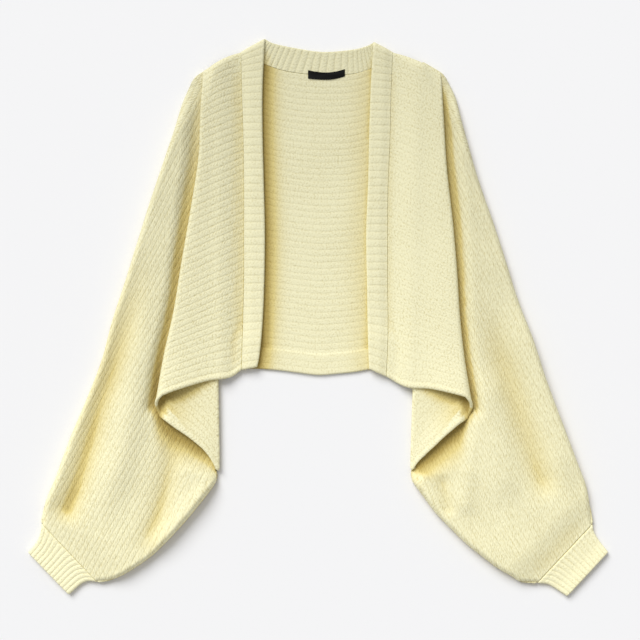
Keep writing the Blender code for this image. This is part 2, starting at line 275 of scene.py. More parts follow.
yarn = {
    "light": "#FFFAD1",         # tops of the stitches
    "deep": "#D9CC93",          # between the stitches: painted shade in the gaps, also random darker specks
    "groove": "#C8B875",        # painted shade down in the grooves between ribs
    "paintedShade": "#ECDFB4",        # painted shade: multiplies the colour in a fold
    "deepPaintedShade": "#CDC3A6",    # painted shade: and again where the fold is deepest
    "paintedFalloff": "#DFDFE0",          # painted light falloff: multiplies the colour towards the shoulders
    "paintedFalloffFrom": -0.28,          # metres up the garment: no painted falloff below this,
    "paintedFalloffTo": 0.34,             # full painted falloff above this
    "stitch": 4.5,              # length of a stitch along its rib
    "roughness": 0.88,
    "specular": 0.25,
    "sheen": 0.12,
    "sheenRoughness": 0.5,
    "sheenTint": "#FFF9DC",
    # unevenness of the ribs' lines and of the stitches' rows, the nap, the specks between fibres,
    # and slow and quick changes of shade: how many to the metre, and in how much detail
    "unevenness": {"rib": (50.0, 2.0), "row": (110.0, 2.0), "nap": (900.0, 4.0),
                   "speck": (430.0, 3.0), "slow": (14.0, 2.0), "quick": (130.0, 2.0)},
    "wander": 0.24,             # how far a rib wanders, in ribs
    "drift": 0.9,               # how far a row of stitches drifts, in stitches
}


def fromMiddle(add, number):
    # 0 in the middle of a rib or stitch, 1 between two of them
    part = add("Math", [number], operation="FRACT")
    part = add("Math", [part, 2.0, -1.0], operation="MULTIPLY_ADD")
    return add("Math", [part], operation="ABSOLUTE")


def knitMaterial(name, pitch, slant, grooveDepth, stitchDepth, contrast, lined):
    # Combed cotton and acrylic yarn knitted in a rib stitch: matt, with a short soft nap that
    # catches light at grazing angles, and slanted stitches in rows along each rib
    material, shader = newMaterial(name, yarn["roughness"], yarn["specular"])
    shader.inputs["Sheen Weight"].default_value = yarn["sheen"]
    shader.inputs["Sheen Roughness"].default_value = yarn["sheenRoughness"]
    shader.inputs["Sheen Tint"].default_value = linear(yarn["sheenTint"])
    tree = material.node_tree
    add = functools.partial(addNode, tree)
    knit = add("UVMap", {}, uv_map="knit")
    along, across, _ = add("SeparateXYZ", [knit]).node.outputs
    uneven = {}
    for kind, (scale, detail) in yarn["unevenness"].items():
        uneven[kind] = add("TexNoise", {"Vector": knit, "Scale": scale, "Detail": detail},
                           noise_dimensions="2D")

    # hand-steamed knit is never quite even: ribs wander, and stitches drift along them
    wander, drift = yarn["wander"], yarn["drift"]
    wandering = add("Math", [uneven["rib"], wander, -wander / 2], operation="MULTIPLY_ADD")
    drifting = add("Math", [uneven["row"], drift, -drift / 2], operation="MULTIPLY_ADD")
    number = add("Math", [across, pitch * mm], operation="DIVIDE")
    number = add("Math", [number, wandering], operation="ADD")
    side = fromMiddle(add, number)
    # each half of a rib has its own column of stitches, which lean against the next one's
    column = add("Math", [number, 2.0], operation="MULTIPLY")
    column = add("Math", [column], operation="FLOOR")
    shift = add("TexWhiteNoise", {"W": column}, noise_dimensions="1D")
    row = add("Math", [along, yarn["stitch"] * mm], operation="DIVIDE")
    row = add("Math", [side, slant, row], operation="MULTIPLY_ADD")
    row = add("Math", [row, drifting], operation="ADD")
    row = add("Math", [row, shift], operation="ADD")
    stitch = fromMiddle(add, row)
    # each stitch's own shade and height
    cell = add("CombineXYZ", [add("Math", [row], operation="FLOOR"), column])
    own = add("TexWhiteNoise", {"Vector": cell}, noise_dimensions="2D")

    gap = add("Math", [stitch, 2.0], operation="POWER")
    channel = add("Math", [side, 4.0], operation="POWER")
    leg = add("Math", [1.0, gap], operation="SUBTRACT")
    leg = add("Math", [leg, add("Math", [1.0, channel], operation="SUBTRACT")], operation="MULTIPLY")
    # heights in millimetres
    height = add("Math", [channel, -grooveDepth], operation="MULTIPLY")
    for part, depth in ((leg, stitchDepth), (own, 0.3 * stitchDepth), (uneven["nap"], 0.25),
                        (uneven["speck"], -2.2 * stitchDepth)):
        height = add("Math", [part, depth, height], operation="MULTIPLY_ADD")
    bump = add("Bump", {"Strength": 1.0, "Distance": mm, "Height": height})
    tree.links.new(bump, shader.inputs["Normal"])

    # painted shade in the gaps between stitches, darker where a stitch sits looser, mixed with random
    # darker specks and slow changes of tone; then painted shade in the grooves between ribs
    loose = add("Math", [own, 0.7, 0.3], operation="MULTIPLY_ADD")
    shade = add("Math", [gap, loose], operation="MULTIPLY")
    shade = add("Math", [shade, 0.8 * contrast], operation="MULTIPLY")
    shade = add("Math", [uneven["speck"], 4.6 * contrast, shade], operation="MULTIPLY_ADD")
    shade = add("Math", [uneven["slow"], 0.3, shade], operation="MULTIPLY_ADD")
    shade = add("Math", [shade, 0.2 + 2.2 * contrast], operation="SUBTRACT")
    shade = add("Math", [shade, 0.0], operation="MAXIMUM")
    grooveShade = add("Math", [channel, loose], operation="MULTIPLY")
    grooveShade = add("Math", [grooveShade, uneven["quick"]], operation="MULTIPLY")
    grooveShade = add("Math", [grooveShade, lined * contrast], operation="MULTIPLY")
    # painted shade: folds, the shadows beside the bands and under the hems are darkened and yellowed in the
    # colour, standing in for occlusion and light bounced about in the yarn
    paintedShade = add("Attribute", {}, "Fac", attribute_name="paintedShade")
    deepest = add("Math", [paintedShade, 1.0], operation="SUBTRACT")
    deepest = add("Math", [deepest, 0.0], operation="MAXIMUM")
    # painted light falloff: the colour darkens up towards the shoulders, standing in for light that is
    # weaker there
    up = add("SeparateXYZ", [add("TexCoord", {}, "Object")], 1)
    span = yarn["paintedFalloffTo"] - yarn["paintedFalloffFrom"]
    up = add("Math", [up, 1 / span, -yarn["paintedFalloffFrom"] / span], operation="MULTIPLY_ADD")
    colour = linear(yarn["light"])
    for amount, tint, blend in ((shade, "deep", "MIX"), (grooveShade, "groove", "MIX"),
                                (paintedShade, "paintedShade", "MULTIPLY"), (deepest, "deepPaintedShade", "MULTIPLY"),
                                (up, "paintedFalloff", "MULTIPLY")):
        colour = add("Mix", {0: amount, 6: colour, 7: linear(yarn[tint])}, 2,
                     data_type="RGBA", blend_type=blend)
    tree.links.new(colour, shader.inputs["Base Color"])
    return material


# Sleeves. The outlines run from the shoulder: the overarm down to the cuff seam, and the
# underarm from the cuff seam back up to the armhole.
sleeves = {
    "perRib": 6,
    "lines": 82,            # lines along a rib
    "crowding": 1.7,        # how much closer they are near the edges
    "gathered": 44.0,       # from this far above the cuff the sleeve comes down to it
    "roll": 6.0,            # roundness of the overarm and underarm edges
    "shoulderEase": 65.0,   # the loft grows over this much from the shoulder
    "shortfall": 11.0,      # along a rib, how far the upper layer stays inside the armhole fold
    "bottomRoll": 4.0,
    "rim": 1.3,             # the cloth's own edges
    "waves": (0.8, 80),     # height and length of slow unevenness
    "mouthLoft": 2.5,
    "ribDepth": 0.11,       # as a part of the cloth's half thickness
    # beside the front that lies on it the sleeve stays down this far, then rises over this much,
    # by how far down the front's edge it is
    "valley": ((0, 0), (0.14, 4), (0.3, 4), (0.5, 2), (0.79, 1), (0.87, 9), (0.94, 8), (1, 2)),
    "rise": ((0, 8), (0.14, 20), (0.3, 20), (0.5, 17), (0.79, 16), (0.87, 40), (0.94, 34), (1, 20)),
    "right": {
        "ribs": 42,
        "pitch": 6.9,
        "seed": 7,
        "lean": ((0, 66), (0.25, 60), (0.6, 59), (1, 58)),    # degrees from straight down
        "armholeLean": ((0, 59), (1, 59)),
        "bow": ((0, 0.0), (1, 0.0)),
        "shoulder": ((-166, 303), (-159.6, 313.2), (-150, 320.6), (-135, 327)),
        "armholeEnd": (-133, -197),
        "overarm": ((-166, 303), (-173, 289), (-179.4, 272), (-187, 246), (-197.6, 215), (-208, 184),
                    (-222, 142), (-251, 49), (-268, -3), (-282, -55), (-302, -107), (-324, -159),
                    (-343, -211), (-354.3, -237), (-358, -256), (-359.5, -268)),
        "underarm": ((-287.3, -344), (-270.4, -341.9), (-257.4, -337.4), (-244.4, -330.2),
                     (-218.4, -312.7), (-197.6, -293.2), (-178.1, -272.4), (-162.5, -254.2),
                     (-145.6, -233.4), (-134, -217), (-131, -211.5), (-130.5, -205.5), (-133, -197)),
        "puff": 10.0,
        "folds": (
            {"path": ((-222, 110), (-232, 62), (-251, -12), (-268, -70), (-285, -118), (-298, -167),
                      (-315, -223), (-337, -274)), "width": 16, "leftWidth": 15, "height": -8.5,
             "fadeIn": 0.5, "fadeOut": 0.07},
            {"path": ((-216, 60), (-222, 20), (-232, -70), (-253, -172), (-279, -276)),
             "width": 20, "height": 6.5, "fadeIn": 0.35},
            {"path": ((-186, -146), (-196, -215), (-212, -270), (-235, -315)),
             "width": 14, "height": -4.5},
            {"path": ((-142, -212), (-163, -245), (-197, -283), (-225, -306)),
             "width": 13, "height": 3.5, "fadeIn": 0.2},
        ),
    },
    "left": {
        "ribs": 48,
        "pitch": 5.8,
        "seed": 8,
        "lean": ((0, 68), (0.25, 64), (0.6, 62), (1, 54)),
        "armholeLean": ((0, 62), (1, 62)),
        "bow": ((0, 0.0), (0.5, -0.015), (1, -0.03)),
        "shoulder": ((167.7, 310), (158.6, 320.5), (136, 334)),
        "armholeEnd": (124, -192.5),
        "overarm": ((167.7, 310), (174.2, 298.4), (180.7, 282.8), (187.2, 256.8), (194.4, 230.8),
                    (209.3, 178.8), (227.5, 126.8), (244.4, 74.8), (260.7, 22.8), (280.8, -29.3),
                    (297.7, -81.3), (317.2, -133.3), (336.7, -185.3), (349, -218), (354.3, -246),
                    (356.9, -268.5)),
        "underarm": ((284.7, -345.2), (262.6, -343.9), (252.2, -337.4), (234, -327), (213.2, -311.4),
                     (193.7, -295.8), (171.6, -274.3), (153.4, -255.5), (137.8, -234.7),
                     (126.1, -219), (121.7, -212), (120.7, -205), (124, -192.5)),
        "puff": 10.0,
        "folds": (
            {"path": ((222, 30), (232, -30), (246, -75), (260, -121), (275, -164), (289, -203),
                      (305, -240)),
             "width": 17, "height": -5.4, "fadeIn": 0.35, "fadeOut": 0.12},
            {"path": ((250, 20), (275, -50), (300, -120), (318, -190), (318, -240)),
             "width": 20, "height": 5.0},
            {"path": ((215, -60), (222, -120), (236, -190), (250, -250)), "width": 22, "height": 5.0},
            {"path": ((196, -185), (192, -215), (190, -260)), "width": 12, "height": 2.5},
            {"path": ((160, -200), (163, -225), (172, -262)), "width": 9, "height": -3.0},
        ),
    },
}

# Front panels. Rows run from the shoulder to the hem: seam at the band, fold where the front
# hangs over, armY where it meets the armhole line, radius of the hanging fold, and bow, how far
# a rib arches above a straight line. The waves bend the two parts of the hem: part of the way
# along it, and how far off a straight line
fronts = {
    "ribs": 47,
    "perRib": 6,
    "pitch": 7.8,
    "foldSteps": 13,
    "foldPoints": 30,       # points along the hanging fold, where it lies on the sleeve
    "foldSlide": (0.35, 1.0),       # how far a rib slides round the fold, at the top and more below
    "armSteps": 7,
    "armSlide": 0.02,
    "overlap": (1.2, 2.4, 3.0),     # it laps under itself to here past the armhole
    "waveFrom": 0.8,
    "waves": (0.5, 90),
    "curl": 7.5,            # how far the hem under the fold stands up
    "curlReach": 20.0,
    "shoulderRoll": 9.0,
    "foldRoll": 45.0,       # the hanging fold comes down to it more slowly
    "cornerIn": 2.2,        # the hem's corner at the armhole keeps this far inside it,
    "cornerReach": 14.0,    # over this much
    "bead": (0.7, 3.2, 2.4),        # along the hem: how thick, how far in and how wide
    "rim": (1.8, 0.3, 1.3),         # at the hem and shoulder, at the band, and under the armhole
    "columns": ("seamX", "seamY", "foldX", "foldY", "armY", "radius", "bow"),
    "right": {
        "rows": (
            (-100, 345, -149, 321.5, 322, 1.9, 3),
            (-98.8, 290, -153, 266, 262, 2.4, 2),
            (-97, 232, -155.5, 207, 196, 2.8, 0),
            (-96.2, 172, -165.5, 141, 122, 3.2, 0),
            (-96.2, 112, -177, 74, 40, 3.6, 0),
            (-96.2, 52, -187.5, 9, -45, 4.0, 0),
            (-97.5, -8, -200.5, -50, -122.5, 4.6, 0),
            (-99.2, -68.3, -211.5, -114, -200, 7.0, 0),
        ),
        "seed": 3,
        "ribDepth": 0.1,
        "hemWave": ((0, 0), (0.16, -5), (0.45, 0), (0.8, 1), (1, 0)),
        "underWave": ((0, 0), (0.1, 2.6), (0.27, 5), (0.54, 9.4), (0.78, 10.5), (0.9, 7), (0.96, 3),
                      (1, 0)),
    },
    "left": {
        "rows": (
            (97, 345, 160, 319, 323, 1.9, 2.5),
            (94.9, 290, 163.5, 257, 258, 2.4, 2.5),
            (93.5, 230, 167.5, 193, 188, 2.8, 1),
            (91, 169, 175, 126, 112, 3.2, 0),
            (90.4, 107, 180.5, 62, 32, 3.6, 0),
            (90.4, 46, 184.5, 1, -48, 4.0, 0),
            (91, -16, 190.5, -54, -122, 4.6, 0),
            (88.6, -77, 200.5, -116, -199, 7.0, 0),
        ),
        "seed": 4,
        "ribDepth": 0.035,
        "hemWave": ((0, 0), (0.26, -7), (0.55, -1.5), (0.8, 0), (1, 0)),
        "underWave": ((0, 0), (0.15, 3.8), (0.3, 4.6), (0.46, 5), (0.61, 4.4), (0.75, 4.5),
                      (0.92, 3.5), (1, 0)),
    },
}

armholes = {
    "right": ((-135, 327), (-127.5, -205)),
    "left": ((136, 334), (119.5, -205)),
}


def armholeX(side, height):
    top, bottom = armholes[side]
    return top[0] + (bottom[0] - top[0]) * (top[1] - height) / (top[1] - bottom[1])


def overHem(height):
    # How much higher cloth lies where the back's hem under it is doubled
    start, end = layers["hemRiseFrom"], layers["hemRiseTo"]
    return layers["hemRise"] * eased((start - height) / (start - end))


def leveled(flat, height):
    return np.concatenate([flat, np.broadcast_to(height, flat.shape[:-1])[..., None]], axis=-1)


def halfTurn(edge, normal, low, high, steps, slide):
    # A turn of cloth from one level to the next one down, its outermost face on the edge; slide
    # is how far a rib runs along the fold for each length that it runs round it
    radius = ((high - low) / 2)[:, None]
    angle = np.linspace(math.pi / 2, -math.pi / 2, steps)
    inside = layers["half"] + radius - radius * np.cos(angle)
    ahead = unit(np.gradient(edge, axis=0))[:, None]
    flat = edge[:, None] - normal[:, None] * inside[..., None]
    flat = flat - ahead * (slide * radius * angle)[..., None]
    return leveled(flat, ((high + low) / 2)[:, None] + radius * np.sin(angle))


def frontPanel(side, material):
    sizes = fronts[side]
    lines = meshLines(fronts["ribs"], fronts["perRib"], (0.04, 0.1))
    down = lines / fronts["ribs"]
    table = curveThrough(sizes["rows"], down * (len(sizes["rows"]) - 1))
    row = dict(zip(fronts["columns"], table.T))
    seam = np.stack([row["seamX"], row["seamY"]], axis=1)
    edge = np.stack([row["foldX"], row["foldY"]], axis=1)
    outwards = -1 if side == "right" else 1
    fromShoulder = lines * fronts["pitch"]
    fromHem = (fronts["ribs"] - lines) * fronts["pitch"]
    arm = np.stack([armholeX(side, row["armY"]), row["armY"]], axis=1)
    arm[:, 0] += outwards * fronts["cornerIn"] * (1 - rounded(fromHem, fronts["cornerReach"]))
    edgeNormal = sideways(edge)
    edgeNormal *= np.sign(edgeNormal[:, :1]) * outwards
    armNormal = sideways(arm)
    armNormal *= -np.sign(armNormal[:, :1]) * outwards

    under = np.full(len(lines), layers["under"])
    top = under + 2 * row["radius"]
    slide = fronts["foldSlide"][0] + fronts["foldSlide"][1] * down[:, None] ** 2
    hanging = halfTurn(edge, edgeNormal, under, top, fronts["foldSteps"], slide)
    lowest = np.full(len(lines), layers["upper"])
    turning = halfTurn(arm, armNormal, lowest, under, fronts["armSteps"], fronts["armSlide"])
    low = hanging[:, -1, :2]
    wave = eased((down - fronts["waveFrom"]) / (1 - fronts["waveFrom"]))[:, None]

    # the top layer, from the band seam to the hanging fold
    part = np.concatenate([[0, 0.006, 0.014], np.linspace(0.03, 1, 33)])[:-1]
    start = seam + unit(hanging[:, 0, :2] - seam) * 0.1
    flat = between(start, hanging[:, 0, :2], part)
    hemWave = smoothly(part, sizes["hemWave"])
    flat[..., 1] += row["bow"][:, None] * np.sin(np.pi * part) + wave * hemWave
    # it lies on the back as far as the armhole, and climbs the sleeve before its fold
    wide = hanging[:, 0, 0] - start[:, 0]
    crossing = ((armholeX(side, start[:, 1]) - start[:, 0]) / wide)[:, None] * 0.95
    climb = eased(part / crossing * 0.94)
    beyond = eased((part - crossing) / (1 - crossing))
    height = layers["front"] + (layers["overArm"] - layers["front"]) * climb
    height = height + (top[:, None] - layers["overArm"]) * beyond
    height = np.maximum(height, layers["front"] + overHem(flat[..., 1]))
    wavy, span = fronts["waves"]
    height += wavy * gentleWaves(flat, span, sizes["seed"]) * eased(part / 0.3)
    over = leveled(flat, height)

    # the same cloth on its way back under itself, to the armhole
    back = np.linspace(0, 1, 21)[1:-1]
    flat = between(low, turning[:, 0, :2], back)
    flat[..., 1] += wave * smoothly(back, sizes["underWave"])
    # its free hem curls up
    curl = fronts["curl"] * np.exp(-(fromHem / fronts["curlReach"]) ** 2)[:, None]
    below = leveled(flat, under[:, None] + curl * (1 - back) ** 0.7 * eased(back / 0.15))
    lap = turning[:, -1:] - leveled(armNormal, 0)[:, None] * np.array(fronts["overlap"])[:, None]
    mid = np.concatenate([over, hanging, below, turning, lap], axis=1)
    # all of it comes down to one edge along the shoulder, more slowly towards the fold
    reach = np.full(mid.shape[:2], fronts["shoulderRoll"] + fronts["foldRoll"])
    reach[:, :over.shape[1]] = fronts["shoulderRoll"] + fronts["foldRoll"] * beyond
    rise = rounded(fromShoulder[:, None], reach)
    shoulder = layers["lower"] + 2
    mid[..., 2] = shoulder + (mid[..., 2] - shoulder) * rise

    along = lengthAlong(mid)
    normals = gridNormals(mid)
    normals *= np.sign(normals[:, 5:6, 2:])
    atHem, atBand, atArm = fronts["rim"]
    rim = rounded(np.minimum(fromHem, fromShoulder), atHem)[:, None]
    rim = rim * rounded(along, atBand) * rounded(along[:, -1:] - along, atArm)
    beadThick, beadIn, beadWide = fronts["bead"]
    bead = beadThick * np.exp(-((fromHem - beadIn) / beadWide) ** 2)
    thick = (layers["half"] + bead)[:, None] * rim
    # the ribs fade out on the hem's bead
    relief = sizes["ribDepth"] * ribGroove(lines, 0.9) * (1 - 0.8 * eased(1.6 - fromHem / 4.5))
    sheets = clothShell(mid, normals, thick, relief[:, None], along, fromShoulder[:, None])
    piece = clothPiece(f"{side}FrontKnit", sheets, material)
    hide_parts(f"front_panel_{side}")
    return piece


def hangingLine(side):
    # The edge of the front that lies on the sleeve: down the hanging fold, then along the hem under it
    rows = np.array(fronts[side]["rows"])
    folds = evenly(rows[:, 2:4], fronts["foldPoints"])
    corner = np.array(rows[-1, 2:4])
    end = np.array((armholeX(side, rows[-1, 4]), rows[-1, 4]))
    part = np.linspace(0, 1, 16)[1:]
    hem = corner + (end - corner) * part[:, None]
    hem[:, 1] += smoothly(part, fronts[side]["underWave"])
    return np.vstack([folds, hem])


def ribEnds(outline, leans, count, mirrored):
    # Where the ribs meet the sleeve's outline, each at its own lean
    run = lengthAlong(outline)
    lean = np.radians(np.interp(run[:-1] / run[-1], *np.array(leans).T))
    across = np.stack([np.sin(lean) * mirrored, -np.cos(lean)], axis=1)
    steps = np.diff(outline, axis=0)
    gained = np.maximum((steps * across).sum(1), 0.12 * np.diff(run))
    number = np.concatenate([[0], np.cumsum(gained)])
    return pointsAt(count * number[-1], number, outline)


def sleeve(side, material):
    sizes = sleeves[side]
    mirrored = 1 if side == "right" else -1
    ribs = sizes["ribs"]
    lines = meshLines(ribs, sleeves["perRib"], (0.1,))
    number = lines / ribs
    half = layers["half"]

    overarm = evenly(sizes["overarm"], 90)
    underarm = evenly(sizes["underarm"], 60)
    mouth = np.linspace(overarm[-1], underarm[0], 24)[1:-1]
    outline = np.vstack([overarm, mouth, underarm])
    shoulder = evenly(sizes["shoulder"], 12)
    armhole = np.linspace(sizes["shoulder"][-1], sizes["armholeEnd"], 60)[1:]
    starts = ribEnds(np.vstack([shoulder, armhole]), sizes["armholeLean"], number, mirrored)
    ends = ribEnds(outline, sizes["lean"], number, mirrored)
    # the cloth's middle stays inside the outline by half its thickness, but not at the cuff seam
    cuffSeam = np.array([overarm[-1], underarm[0]])
    fromMouth, _, _ = nearPath(ends, cuffSeam)
    atMouth = fromMouth < 1
    inward = sideways(ends) * mirrored
    slip = np.minimum(half, 0.45 * np.linalg.norm(ends - starts, axis=1))
    ends = ends + inward * (slip * eased(fromMouth / 30))[:, None]

    place = np.linspace(0, 1, sleeves["lines"])
    place = 1 - (1 - place) ** sleeves["crowding"]
    place = np.unique(np.concatenate([[0.002, 0.005], place]))
    run = ends - starts
    length = np.linalg.norm(run, axis=1)
    bow = np.interp(number, *np.array(sizes["bow"]).T) * length
    sidewise = np.stack([-run[:, 1], run[:, 0]], axis=1) / np.maximum(length, 1e-6)[:, None]

    closedOver = overarm + sideways(overarm) * half * mirrored
    closedUnder = underarm + sideways(underarm) * half * mirrored
    lid = hangingLine(side)
    waist = (layers["lower"] + layers["upper"]) / 2
    sheets = []
    startsOff, _, _ = nearPath(starts, shoulder)
    toUnderarm = np.linalg.norm(starts - starts[-1], axis=1)
    clear = (sleeves["shortfall"] - half) * eased(startsOff / 24)
    clear = half + clear * (1 - 0.75 * eased(1 - toUnderarm / 30))
    for layer in ("upper", "lower"):
        short = clear if layer == "upper" else np.where(startsOff < 0.1, half, 0.3)
        short = np.minimum(short, 0.3 * length)
        first = starts + run * (short / np.maximum(length, 1e-6))[:, None]
        flat = between(first, ends, place)
        flat += sidewise[:, None] * (bow[:, None] * 4 * place * (1 - place))[..., None]
        fromEdges = [nearPath(flat, edge)[0] for edge in (closedOver, closedUnder, shoulder)]
        closed = np.minimum.reduce(fromEdges)
        closed[:, -1] = np.where(atMouth, closed[:, -1], 0)
        if layer == "upper":
            roll = rounded(closed, sleeves["roll"])
            off, alongLid, lidSide = nearPath(flat, lid)
            valley = np.interp(alongLid, *np.array(sleeves["valley"]).T)
            rise = np.interp(alongLid, *np.array(sleeves["rise"]).T)
            seen = eased((off * lidSide * -mirrored - valley) / rise)
            toCuff, _, _ = nearPath(flat, cuffSeam)
            full = eased(toCuff / sleeves["gathered"])
            wavy, span = sleeves["waves"]
            loft = sizes["puff"] + sum(softFold(flat, fold) for fold in sizes["folds"])
            loft += wavy * gentleWaves(flat, span, sizes["seed"])
            loft = np.maximum(loft, 0) * seen * full * eased(fromEdges[-1] / sleeves["shoulderEase"])
            loft += sleeves["mouthLoft"] * (1 - full)
            height = waist + (layers["upper"] - waist + loft) * roll
        else:
            height = waist - (waist - layers["lower"]) * rounded(closed, sleeves["bottomRoll"])
        mid = leveled(flat, height)
        normals = gridNormals(mid)
        facing = 1 if layer == "upper" else -1
        normals *= np.where(normals[..., 2:] * facing < 0, -1, 1)
        # at the closed edges the two layers run into each other
        normals[:, -1] = np.where(atMouth[:, None], normals[:, -1], leveled(-inward, 0))
        along = lengthAlong(mid)
        # both layers grow to their thickness at the same rate, so their edges meet
        share = along / np.maximum(along[:, -1:], 1e-6)
        rim = rounded(share * length[:, None], sleeves["rim"])
        toMouth = np.where(atMouth[:, None], along[:, -1:] - along, np.inf)
        rim = rim * rounded(toMouth, sleeves["rim"])
        thick = half * rim * (1 - 0.3 * (1 - rounded(closed, 5.0)))
        relief = sleeves["ribDepth"] * ribGroove(lines, 0.9)[:, None]
        sheets += clothShell(mid, normals, thick, relief, along, lines[:, None] * sizes["pitch"])
    piece = clothPiece(f"{side}SleeveKnit", sheets, material)
    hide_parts(f"sleeve_{side}")
    return piece


# Cuffs: an open tube of rib, laid flat
cuffs = {
    "ribs": 26,             # all round
    "perRib": 8,
    "lines": 20,
    "pitch": 8.2,
    "seamLift": 2.0,        # how much higher its top is at the sleeve,
    "mouthLift": 2.0,       # and at the open end, which gapes
    "ribDepth": 0.42,
    "rim": 1.6,
    "bead": (2.4, 1.5),     # how far in and how wide the seam's bead is, where there is one
    "right": {
        "overarm": ((-359.5, -268), (-362, -281), (-367, -292), (-378, -305)),
        "underarm": ((-287.3, -344), (-298, -343), (-308, -347), (-324, -361)),
        "seamBead": 0.0,
    },
    "left": {
        "overarm": ((356.9, -268.5), (359, -278), (366, -290), (378, -305)),
        "underarm": ((284.7, -345.2), (298, -347), (309, -353), (324, -363)),
        "seamBead": 0.4,
    },
}


def cuff(side, material):
    sizes = cuffs[side]
    half = layers["half"]
    down = meshLines(1, cuffs["lines"] - 1, (0.01, 0.03))
    steps = np.linspace(0, 1, cuffs["lines"])
    overs, unders = (pointsAt(down, steps, evenly(sizes[edge], cuffs["lines"]))
                     for edge in ("overarm", "underarm"))
    width = np.linalg.norm(overs - unders, axis=1)[:, None]
    lines = np.linspace(0, cuffs["ribs"], cuffs["ribs"] * cuffs["perRib"] + 1)
    # a flattened ring, level across most of its width and round at both ends
    turn = np.linspace(0, 2 * math.pi, 3601)
    ring = np.stack([np.sign(np.cos(turn)) * np.abs(np.cos(turn)) ** 0.8,
                     np.sign(np.sin(turn)) * np.abs(np.sin(turn)) ** 0.3], axis=1)
    run = lengthAlong(ring * (46, 3))
    reach, level = pointsAt(lines / cuffs["ribs"] * run[-1], run, ring).T
    across = 0.5 + 0.5 * reach * (1 - 2 * half / width)
    flat = between(unders, overs, across)
    waist = (layers["lower"] + layers["upper"]) / 2
    lift = cuffs["seamLift"] * (1 - eased(down / 0.9)) + cuffs["mouthLift"] * eased((down - 0.5) / 0.5)
    top = layers["upper"] - waist + lift[:, None]
    height = waist + level * np.where(level > 0, top, waist - layers["lower"])
    mid = leveled(flat, height)
    normals = gridNormals(mid, wraps=True)
    if ((mid - mid.mean(axis=1, keepdims=True)) * normals).sum() < 0:
        normals = -normals
    along = lengthAlong((overs + unders) / 2)[:, None]
    rim = rounded(np.minimum(along, along[-1] - along), cuffs["rim"])
    beadIn, beadWide = cuffs["bead"]
    bead = sizes["seamBead"] * np.exp(-((along - beadIn) / beadWide) ** 2)
    thick = (half + bead * (level > 0.4)) * rim
    ribsFrom = 2.5 if sizes["seamBead"] else 0
    relief = cuffs["ribDepth"] * ribGroove(lines, 0.9) * eased((along - ribsFrom) / 3)
    sheets = clothShell(mid, normals, thick, relief, along, lines * cuffs["pitch"])
    piece = clothPiece(f"{side}CuffRib", sheets, material)
    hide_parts(f"cuff_{side}")
    return piece


# Front bands: a doubled rib, with its ribs running across it. Rows as x and y of the free edge
bands = {
    "ribs": 43,
    "perRib": 8,
    "pitch": 9.7,
    "width": 28.0,
    "half": 2.4,
    "thinner": 0.5,         # at its seam
    "level": 6.6,
    "fall": {"right": 1.2, "left": 2.0},    # how much lower it is at its seam
    "ribDepth": 0.13,
    "shoulderDrop": 3.4,
    "shoulderRoll": 9.0,
    "waves": (0.25, 60),
    "seed": {"right": 11, "left": 12},
    # how far from the shoulder, and from the hem, the slope of its end still shows in the ribs
    "slantEnds": (30, 120),
    "right": ((-69, 362.5), (-72, 300), (-72, 240), (-70.5, 177), (-69, 109), (-70, 40), (-72.5, -14),
              (-76, -49), (-79, -64.5)),
    "left": ((72, 358.5), (68.5, 300), (66.5, 240), (65, 177), (62.5, 109), (63.5, 46), (64.5, -14),
             (65.5, -49), (66.5, -67)),
}


def frontBand(side, material):
    lines = meshLines(bands["ribs"], bands["perRib"], (0.03, 0.08))
    free = pointsAt(lines / bands["ribs"], np.linspace(0, 1, 200), evenly(bands[side], 200))
    rows = fronts[side]["rows"]
    table = curveThrough(rows, np.linspace(0, len(rows) - 1, 300))
    height = free[:, 1]
    atTop, atHem = bands["slantEnds"]
    slope = (height[0] - table[0, 1]) * np.exp((height - height[0]) / atTop)
    slope = slope + (height[-1] - table[-1, 1]) * eased(1 - (height - height[-1]) / atHem)
    seamY = np.clip(height - slope, table[-1, 1], table[0, 1])
    seam = np.stack([np.interp(-seamY, -table[:, 1], table[:, 0]), seamY], axis=1)
    wide = np.linalg.norm(seam - free, axis=1)[:, None]
    fromFree = [0, 0.25, 0.8, 1.6, *np.linspace(2.8, 24, 9)]
    toSeam = np.array([2.4, 1.2, 0.5, 0.15, 0])
    part = np.concatenate([fromFree, bands["width"] - toSeam]) / bands["width"]
    flat = between(free, seam, part)
    # the seamed half is pushed this far against the front
    flat -= unit(free - seam)[:, None] * 0.15 * (part[:, None] > 0.5)
    fromShoulder = lines * bands["pitch"]
    fromHem = (bands["ribs"] - lines) * bands["pitch"]
    wavy, span = bands["waves"]
    level = bands["level"] + overHem(flat[..., 1]) - bands["fall"][side] * eased((part - 0.5) / 0.5)
    level -= bands["shoulderDrop"] * (1 - rounded(fromShoulder, bands["shoulderRoll"]))[:, None]
    level += wavy * gentleWaves(flat, span, bands["seed"][side])
    mid = leveled(flat, level)
    across = part * wide
    rim = rounded(across, 2.8) * rounded(wide - across, 0.3)
    rim = rim * rounded(np.minimum(fromHem, fromShoulder), 2.4)[:, None]
    thick = (bands["half"] - bands["thinner"] * eased((part - 0.6) / 0.4)) * rim
    # its ribs are shallower along the free edge
    relief = bands["ribDepth"] * ribGroove(lines, 0.4)[:, None] * (1 - 0.5 * eased(1.5 - across / 2.5))
    sheets = clothShell(mid, upwardNormals(mid), thick, relief, across, fromShoulder[:, None])
    piece = clothPiece(f"{side}BandRib", sheets, material)
    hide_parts(f"front_band_{side}")
    return piece


